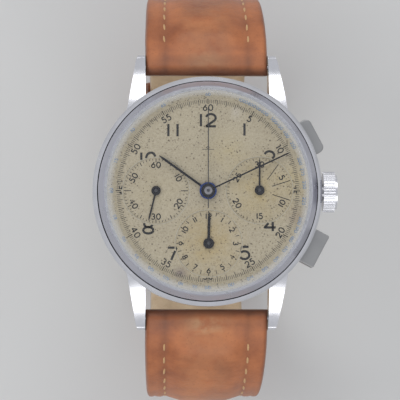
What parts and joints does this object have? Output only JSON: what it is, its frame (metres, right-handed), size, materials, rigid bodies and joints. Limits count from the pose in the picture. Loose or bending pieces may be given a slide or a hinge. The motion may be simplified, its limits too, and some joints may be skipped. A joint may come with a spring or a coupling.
{
  "type": "mechanical chronograph wristwatch",
  "caption": "Wristwatch with a mechanical chronograph movement, registers, crown, pushers and a buckled leather strap.",
  "frame": {"origin": "centre of the case back's flat outer face, where the watch rests on the wrist", "axes": "+Z out of the dial, +Y towards twelve o'clock, +X towards three o'clock and the crown"},
  "size_m": [0.04, 0.0676, 0.0604],
  "materials": {
    "polished_steel": "polished",
    "case_steel": "satin",
    "crystal": "polished",
    "dial_enamel": "matt, aged",
    "black_hands": "satin",
    "grey_hand": "satin",
    "plate_rhodium": "satin",
    "wheel_brass": "satin",
    "blued_steel": "polished",
    "movement_steel": "polished",
    "ruby": "polished",
    "strap_leather": "satin",
    "strap_lining": "matt",
    "stitching": "matt",
    "dial_print": "matt",
    "scale_print": "matt"
  },
  "bodies": {
    "case": {"case_back": "case_steel", "case_middle": "polished_steel", "bezel": "case_steel", "crystal": "crystal", "crown_tube": "case_steel", "pusher_tubes": "case_steel", "pusher_springs": "case_steel", "spring_bars": "case_steel", "movement_ring": "plate_rhodium", "dial": "dial_enamel", "main_plate": "plate_rhodium", "barrel_bridge": "plate_rhodium", "train_bridge": "plate_rhodium", "balance_cock": "plate_rhodium", "pallet_bridge": "plate_rhodium", "chronograph_bridge": "plate_rhodium", "jewels": "ruby", "bridge_screws": "blued_steel"},
    "small_seconds": {"fourth_wheel": "wheel_brass", "small_seconds_hand": "black_hands"},
    "third": {"third_wheel": "wheel_brass"},
    "minutes": {"centre_wheel": "wheel_brass", "cannon_pinion": "movement_steel", "minute_hand": "black_hands"},
    "hours": {"hour_wheel": "wheel_brass", "hour_hand": "black_hands"},
    "minute_works": {"minute_wheel": "wheel_brass"},
    "barrel": {"barrel": "wheel_brass", "mainspring": "blued_steel"},
    "winding": {"barrel_arbor": "movement_steel", "ratchet_wheel": "movement_steel"},
    "crown_wheel": {"crown_wheel": "movement_steel"},
    "click": {"click": "movement_steel"},
    "escape": {"escape_wheel": "movement_steel"},
    "pallets": {"pallet_fork": "movement_steel"},
    "balance": {"balance_wheel": "wheel_brass", "hairspring": "blued_steel"},
    "setting_lever": {"setting_lever": "movement_steel"},
    "crown": {"crown": "polished_steel", "winding_stem": "movement_steel"},
    "winding_pinion": {"winding_pinion": "movement_steel"},
    "chrono_seconds": {"chrono_runner": "wheel_brass", "chrono_seconds_hand": "grey_hand"},
    "minute_counter": {"minute_runner": "wheel_brass", "minute_counter_hand": "black_hands"},
    "hour_counter": {"hour_runner": "wheel_brass", "hour_counter_hand": "black_hands"},
    "clutch_lever": {"clutch_lever": "movement_steel"},
    "clutch_wheel": {"clutch_wheel": "wheel_brass"},
    "column_wheel": {"column_wheel": "movement_steel"},
    "pusher_top": {"pusher_top": "polished_steel"},
    "pusher_bottom": {"pusher_bottom": "polished_steel"},
    "operating_lever": {"operating_lever": "movement_steel"},
    "reset_hammer": {"reset_hammer": "movement_steel"},
    "strap_6": {"strap_6": "strap_leather"},
    "strap_12": {"strap_12": "strap_leather", "fixed_keeper": "strap_leather"},
    "free_keeper": {"free_keeper": "strap_leather"},
    "buckle": {"buckle_frame": "polished_steel"},
    "tongue": {"buckle_tongue": "polished_steel"}
  },
  "joints": [
    {"name": "small_seconds_spin", "type": "hinge", "parent": "case", "child": "small_seconds", "pos_m": [-0.00845, 0, 0.0045], "axis": [0, 0, -1], "continuous": true},
    {"name": "third_wheel_spin", "type": "hinge", "parent": "case", "child": "third", "pos_m": [-0.00466, 0.00192, 0.0046], "axis": [0, 0, -1], "continuous": true},
    {"name": "minute_hand_spin", "type": "hinge", "parent": "case", "child": "minutes", "pos_m": [0, 0, 0.0052], "axis": [0, 0, -1], "continuous": true},
    {"name": "hour_hand_spin", "type": "hinge", "parent": "case", "child": "hours", "pos_m": [0, 0, 0.0076], "axis": [0, 0, -1], "continuous": true},
    {"name": "minute_wheel_spin", "type": "hinge", "parent": "case", "child": "minute_works", "pos_m": [0.00196, 0.00339, 0.0074], "axis": [0, 0, -1], "continuous": true},
    {"name": "barrel_spin", "type": "hinge", "parent": "case", "child": "barrel", "pos_m": [0.0042, 0.00565, 0.0044], "axis": [0, 0, -1], "continuous": true},
    {"name": "ratchet_spin", "type": "hinge", "parent": "case", "child": "winding", "pos_m": [0.0042, 0.00565, 0.0026], "axis": [0, 0, -1], "continuous": true},
    {"name": "crown_wheel_spin", "type": "hinge", "parent": "case", "child": "crown_wheel", "pos_m": [0.0102, 0.00343, 0.0026], "axis": [0, 0, -1], "continuous": true},
    {"name": "escape_wheel_spin", "type": "hinge", "parent": "case", "child": "escape", "pos_m": [-0.00778, -0.00379, 0.0046], "axis": [0, 0, -1], "continuous": true},
    {"name": "chrono_seconds_spin", "type": "hinge", "parent": "case", "child": "chrono_seconds", "pos_m": [0, 0, 0.002], "axis": [0, 0, -1], "continuous": true},
    {"name": "minute_counter_spin", "type": "hinge", "parent": "case", "child": "minute_counter", "pos_m": [0.0084, 0.0001, 0.0017], "axis": [0, 0, -1], "continuous": true},
    {"name": "hour_counter_spin", "type": "hinge", "parent": "case", "child": "hour_counter", "pos_m": [0.0001, -0.00855, 0.0074], "axis": [0, 0, -1], "continuous": true},
    {"name": "column_wheel_turn", "type": "hinge", "parent": "case", "child": "column_wheel", "pos_m": [0.0106, -0.0034, 0.0018], "axis": [0, 0, -1], "continuous": true},
    {"name": "clutch_engage", "type": "hinge", "parent": "case", "child": "clutch_lever", "pos_m": [-0.00845, 0, 0.0026], "axis": [0, 0, 1], "range_deg": [0, 6], "stiffness_Nm_per_rad": 0.000002},
    {"name": "clutch_wheel_spin", "type": "hinge", "parent": "clutch_lever", "child": "clutch_wheel", "pos_m": [-0.0053, -0.00079, 0.002], "axis": [0, 0, -1], "continuous": true},
    {"name": "click_swing", "type": "hinge", "parent": "case", "child": "click", "pos_m": [0.00342, 0.01008, 0.0026], "axis": [0, 0, 1], "range_deg": [0, 10], "stiffness_Nm_per_rad": 0.000001},
    {"name": "balance_swing", "type": "hinge", "parent": "case", "child": "balance", "pos_m": [-0.0045, -0.009, 0.0041], "axis": [0, 0, 1], "range_deg": [-135, 135], "stiffness_Nm_per_rad": 0.00000016},
    {"name": "pallet_rock", "type": "hinge", "parent": "case", "child": "pallets", "pos_m": [-0.00669, -0.00553, 0.0046], "axis": [0, 0, 1], "range_deg": [-4.6, 4.6]},
    {"name": "crown_pull", "type": "slide", "parent": "case", "child": "setting_lever", "axis": [1, 0, 0], "range_m": [0, 0.0009]},
    {"name": "crown_turn", "type": "hinge", "parent": "setting_lever", "child": "crown", "pos_m": [0.0117, 0, 0.0046], "axis": [1, 0, 0], "continuous": true},
    {"name": "winding_pinion_turn", "type": "hinge", "parent": "case", "child": "winding_pinion", "pos_m": [0.0106, 0, 0.0046], "axis": [1, 0, 0], "continuous": true},
    {"name": "pusher_top_press", "type": "slide", "parent": "case", "child": "pusher_top", "axis": [-0.8829, -0.4695, 0], "range_m": [0, 0.001], "stiffness_N_per_m": 600, "springref_m": -0.001, "deforming": ["pusher_springs"]},
    {"name": "operating_lever_swing", "type": "hinge", "parent": "case", "child": "operating_lever", "pos_m": [0.00678, 0.01086, 0.0014], "axis": [0, 0, -1], "range_deg": [0, 9.2]},
    {"name": "pusher_bottom_press", "type": "slide", "parent": "case", "child": "pusher_bottom", "axis": [-0.8829, 0.4695, 0], "range_m": [0, 0.001], "stiffness_N_per_m": 600, "springref_m": -0.001, "deforming": ["pusher_springs"]},
    {"name": "reset_hammer_swing", "type": "hinge", "parent": "case", "child": "reset_hammer", "pos_m": [0.0064, -0.01109, 0.0014], "axis": [0, 0, 1], "range_deg": [0, 9.2]},
    {"name": "strap_6_swing", "type": "hinge", "parent": "case", "child": "strap_6", "pos_m": [0, -0.0206, 0.0024], "axis": [-1, 0, 0], "range_deg": [0, 60]},
    {"name": "strap_12_swing", "type": "hinge", "parent": "case", "child": "strap_12", "pos_m": [0, 0.0206, 0.0024], "axis": [1, 0, 0], "range_deg": [0, 30]},
    {"name": "buckle_swing", "type": "hinge", "parent": "strap_12", "child": "buckle", "pos_m": [0, 0.003, -0.0416], "axis": [1, 0, 0], "range_deg": [0, 18]},
    {"name": "tongue_swing", "type": "hinge", "parent": "buckle", "child": "tongue", "pos_m": [0, 0.003, -0.0416], "axis": [1, 0, 0], "range_deg": [0, 30]},
    {"name": "free_keeper_slide", "type": "hinge", "parent": "strap_12", "child": "free_keeper", "pos_m": [0, 0.0055, -0.0146], "axis": [1, 0, 0], "range_deg": [-3, 12]}
  ],
  "couplings": [
    {"joint": "third_wheel_spin", "follows": "small_seconds_spin", "ratio": -0.13333},
    {"joint": "minute_hand_spin", "follows": "small_seconds_spin", "ratio": 0.016667},
    {"joint": "minute_wheel_spin", "follows": "small_seconds_spin", "ratio": -0.0055556},
    {"joint": "hour_hand_spin", "follows": "small_seconds_spin", "ratio": 0.0013889},
    {"joint": "barrel_spin", "follows": "small_seconds_spin", "ratio": -0.0021368},
    {"joint": "escape_wheel_spin", "follows": "small_seconds_spin", "ratio": -10},
    {"joint": "clutch_wheel_spin", "follows": "small_seconds_spin", "ratio": -1.1667},
    {"joint": "minute_counter_spin", "follows": "chrono_seconds_spin", "ratio": 0.033333},
    {"joint": "hour_counter_spin", "follows": "chrono_seconds_spin", "ratio": 0.0013889},
    {"joint": "winding_pinion_turn", "follows": "crown_turn", "ratio": 1},
    {"joint": "crown_wheel_spin", "follows": "crown_turn", "ratio": -0.5},
    {"joint": "ratchet_spin", "follows": "crown_turn", "ratio": 0.44118},
    {"joint": "pallet_rock", "follows": "balance_swing", "ratio": -0.033333},
    {"joint": "operating_lever_swing", "follows": "pusher_top_press", "rad_per_m": 158},
    {"joint": "reset_hammer_swing", "follows": "pusher_bottom_press", "rad_per_m": 158},
    {"joint": "strap_12_swing", "follows": "strap_6_swing", "ratio": 0.5},
    {"joint": "buckle_swing", "follows": "strap_6_swing", "ratio": 0.3},
    {"joint": "tongue_swing", "follows": "strap_6_swing", "ratio": 0.5}
  ]
}
